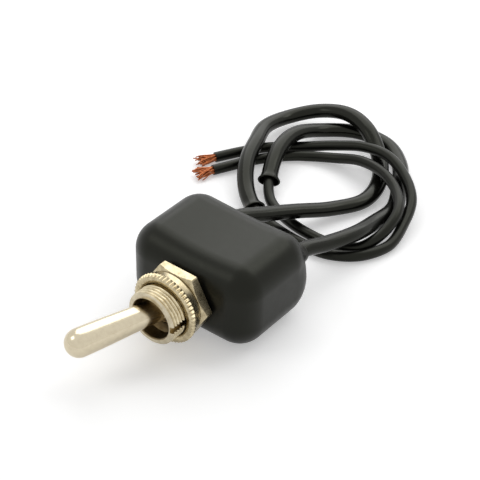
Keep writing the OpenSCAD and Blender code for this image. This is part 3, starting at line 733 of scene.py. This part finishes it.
section = [(front, RING_SINK_R)]
section += [(front + y * MM, ring_r - inset * MM) for y, inset in RIM]
section += [(back - y * MM, ring_r - inset * MM) for y, inset in BAND]
section += [(back, NUT_BORE_R), (front + RING_SINK_DEPTH, NUT_BORE_R)]
ring_nut = turned("ring_nut_knurled", section, KNURL_TEETH * 10, knurled, crease=50)
ring_nut.data.materials.append(nut_plate)
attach(ring_nut, "switch")
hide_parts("ring_nut")

# --- Lever --------------------------------------------------------------------
# The bat handle: brass turned in one piece with its ball and tail, polished and
# plated with bright nickel, so it mirrors the white surroundings and the switch.
TIP_R = 3.0 * MM
ROOT_R = 2.4 * MM
BALL_R = 3.9 * MM
REACH = 24.2 * MM
TAIL_R = 2.2 * MM
TAIL_LENGTH = 6.8 * MM
TAIL_EDGE = 0.2 * MM
SPRING_BORE_R = 1.5 * MM
SPRING_BORE_START = 1.5 * MM
PIN_HOLE_R = 0.77 * MM
REST_TILT = math.radians(-16.5)
tip_middle = -(REACH - TIP_R)
root_at = math.asin(ROOT_R / BALL_R)
tail_at = math.asin(TAIL_R / BALL_R)
# The round tip, the bat's taper, the ball, and the tail with its spring bore.
outline = [(tip_middle - TIP_R * math.cos(t), TIP_R * math.sin(t))
           for t in [math.pi / 2 * k / 14 for k in range(15)]]
outline += [(tip_middle * (1 - s), TIP_R + (ROOT_R - TIP_R) * (3 * s * s - 2 * s ** 3) ** 0.9)
            for s in [k / 24 for k in range(1, 20)]]
outline += [(-BALL_R * math.cos(t), BALL_R * math.sin(t))
            for t in [root_at + (math.pi - tail_at - root_at) * k / 30 for k in range(31)]]
outline += [(TAIL_LENGTH - TAIL_EDGE, TAIL_R), (TAIL_LENGTH, TAIL_R - TAIL_EDGE),
            (TAIL_LENGTH, SPRING_BORE_R), (SPRING_BORE_START, SPRING_BORE_R),
            (SPRING_BORE_START, 0)]
lever = turned("lever_turned", outline, 96, closed=False, crease=30)
cross_hole = round_bar("cross_hole", -5 * MM, 5 * MM, PIN_HOLE_R, PIN_HOLE_R, 48)
cross_hole.data.transform(Matrix.Rotation(math.pi / 2, 4, "X"))
cut_away(lever, cross_hole)
keep_crisp(lever, 30)
lever.data.transform(Matrix.Translation(PIVOT) @ Matrix.Rotation(REST_TILT, 4, "Z"))
# Buffed before plating: almost a mirror, warm white, with hardly a dent.
lever.data.materials.append(
    plated("polished_nickel_lever", "#c5b9a0", "#d0c5ac", 0.15, 0.2, dents=0.02))
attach(lever, "toggle")
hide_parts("lever")

# --- Mechanism ----------------------------------------------------------------
# The sealed inside: steel frame, fibre insulator, phenolic base, brass rocker and
# terminals, silver contacts, nylon plunger on its spring, and the leads' ends.


def finish_nodes(material, names):
    """Gives one finish to pieces that keep the shape they have in the part."""
    for name in names:
        node = bpy.data.objects[name]
        node.data.materials.clear()
        node.data.materials.append(material)


def grained(name, dark, pale, rough, grain_mm, metallic=0.0, stretch=(1, 1, 1)):
    """A surface whose colour and gloss vary with a grain of a real size; a stretch
    draws the grain out into the direction in which the sheet was rolled."""
    material, tree, shader, where = surface(name, {"Metallic": metallic})
    lay = add(tree, "ShaderNodeMapping", {"Scale": stretch}, {"Vector": where})
    grain = add(tree, "ShaderNodeTexNoise", {"Scale": 1 / (grain_mm * MM), "Detail": 4},
                {"Vector": lay.outputs["Vector"]})
    tone = add(tree, "ShaderNodeMix", {"data_type": "RGBA", "A": colour(dark), "B": colour(pale)},
               {"Factor": grain.outputs["Fac"]})
    gloss = add(tree, "ShaderNodeMapRange", {"To Min": rough - 0.08, "To Max": rough + 0.08},
                {"Value": grain.outputs["Fac"]})
    bump = add(tree, "ShaderNodeBump", {"Strength": 0.2, "Distance": 0.02 * MM},
               {"Height": grain.outputs["Fac"]})
    feed(tree, shader, {"Base Color": tone.outputs["Result"],
                        "Roughness": gloss.outputs["Result"],
                        "Normal": bump.outputs["Normal"]})
    return material


# Zinc is bluish and spangled; drawn steel is darker and satin.
finish_nodes(grained("zinc_plated_steel", "#9a9c9e", "#c9cbcc", 0.34, 1.2, 1),
             ["frame", "pivot_pin"])
finish_nodes(grained("drawn_spring_steel", "#77787a", "#a9abad", 0.3, 0.5, 1),
             ["plunger_spring"])
# Brass strip shows yellow streaks along the way it was rolled; silver is soft white.
finish_nodes(grained("rolled_brass_strip", "#b08a3c", "#dcb765", 0.28, 0.6, 1, (1, 6, 6)),
             ["rocker", "cradle", "centre_rivet", "common_terminal", "end_terminal"])
finish_nodes(grained("contact_silver", "#c4c4c2", "#e8e8e6", 0.25, 0.4, 1),
             ["moving_contact", "fixed_contact"])
# Phenolic is dark brown and half dull, fibre matt and mottled, nylon waxy red.
finish_nodes(grained("moulded_phenolic", "#2a1710", "#45281a", 0.45, 1.0), ["base"])
finish_nodes(grained("vulcanised_fibre", "#5f4632", "#8a6a4c", 0.7, 0.3), ["insulator"])
finish_nodes(grained("moulded_red_nylon", "#8a1f16", "#b03428", 0.4, 0.8), ["plunger"])
finish_nodes(copper, ["core_a", "core_b"])

# --- Floor and light ----------------------------------------------------------
# A plain sheet of white paper under one wide soft box high behind the switch, with
# small weak ones at the front left and back right, in an even white surround.
FLOOR_HALF = 3  # metres from its middle to an edge
FLOOR_LIFT = 0.35  # the white that the paper adds of its own where it is seen directly
FAR_FLOOR_LIFT = 0.62  # the same far off, past the lamps' reach, so that no edge shows
LIFT_FROM, LIFT_TO = 0.2, 1  # the metres over which it goes from the one to the other
SURROUND = 0.42  # how strongly the surround lights the switch; seen directly it is white
AIM = Vector((0, 0.03, 0))  # where the lamps point: between the jacket and the loops


def seen_directly(tree):
    """One for what the camera sees by itself, in a polished part or through glass."""
    ray = add(tree, "ShaderNodeLightPath")
    seen = ray.outputs["Is Camera Ray"]
    for kind in ("Is Glossy Ray", "Is Transmission Ray"):
        seen = add(tree, "ShaderNodeMath", {"operation": "MAXIMUM"},
                   {0: seen, 1: ray.outputs[kind]}).outputs["Value"]
    return seen


floor_mesh = bpy.data.meshes.new("floor")
floor_mesh.from_pydata([(x * FLOOR_HALF, y * FLOOR_HALF, FLOOR_Z)
                        for x, y in ((-1, -1), (1, -1), (1, 1), (-1, 1))], [], [(0, 1, 2, 3)])
floor = place("floor", floor_mesh)
# Uncoated paper: even, white and without any shine of its own.
paper, tree, shader, where = surface(
    "matt_white_paper", {"Base Color": colour("#f4f4f4"), "Roughness": 0.9,
                         "Specular IOR Level": 0.2, "Emission Color": (1, 1, 1, 1)})
reach = add(tree, "ShaderNodeVectorMath", {"operation": "LENGTH"}, {"Vector": where})
fade = add(tree, "ShaderNodeMapRange", {"From Min": LIFT_FROM, "From Max": LIFT_TO,
                                        "To Min": FLOOR_LIFT, "To Max": FAR_FLOOR_LIFT},
           {"Value": reach.outputs["Value"]})
lift = add(tree, "ShaderNodeMapRange", {"To Min": 0},
           {"Value": seen_directly(tree), "To Max": fade.outputs["Result"]})
feed(tree, shader, {"Emission Strength": lift.outputs["Result"]})
floor_mesh.materials.append(paper)

world = bpy.data.worlds.new("studio")
bpy.context.scene.world = world
world.use_nodes = True
tree = world.node_tree
tree.nodes.clear()
level = add(tree, "ShaderNodeMapRange", {"To Min": SURROUND, "To Max": 1},
            {"Value": seen_directly(tree)})
sky = add(tree, "ShaderNodeBackground", {"Color": (1, 1, 1, 1)},
          {"Strength": level.outputs["Result"]})
add(tree, "ShaderNodeOutputWorld", {}, {"Surface": sky.outputs["Background"]})
for name, position, size, watts in (("soft_box", (-0.26, 0.5, 0.55), 0.8, 3.3),
                                    ("front_box", (-0.38, -0.36, 0.56), 0.3, 0.5),
                                    ("side_box", (0.22, 0.48, 0.55), 0.25, 0.5)):
    lamp = bpy.data.lights.new(name, "AREA")
    lamp.size, lamp.energy = size, watts
    box = place(name, lamp)
    box.location = position
    box.rotation_euler = (AIM - box.location).to_track_quat("-Z", "Y").to_euler()

bpy.context.view_layer.update()
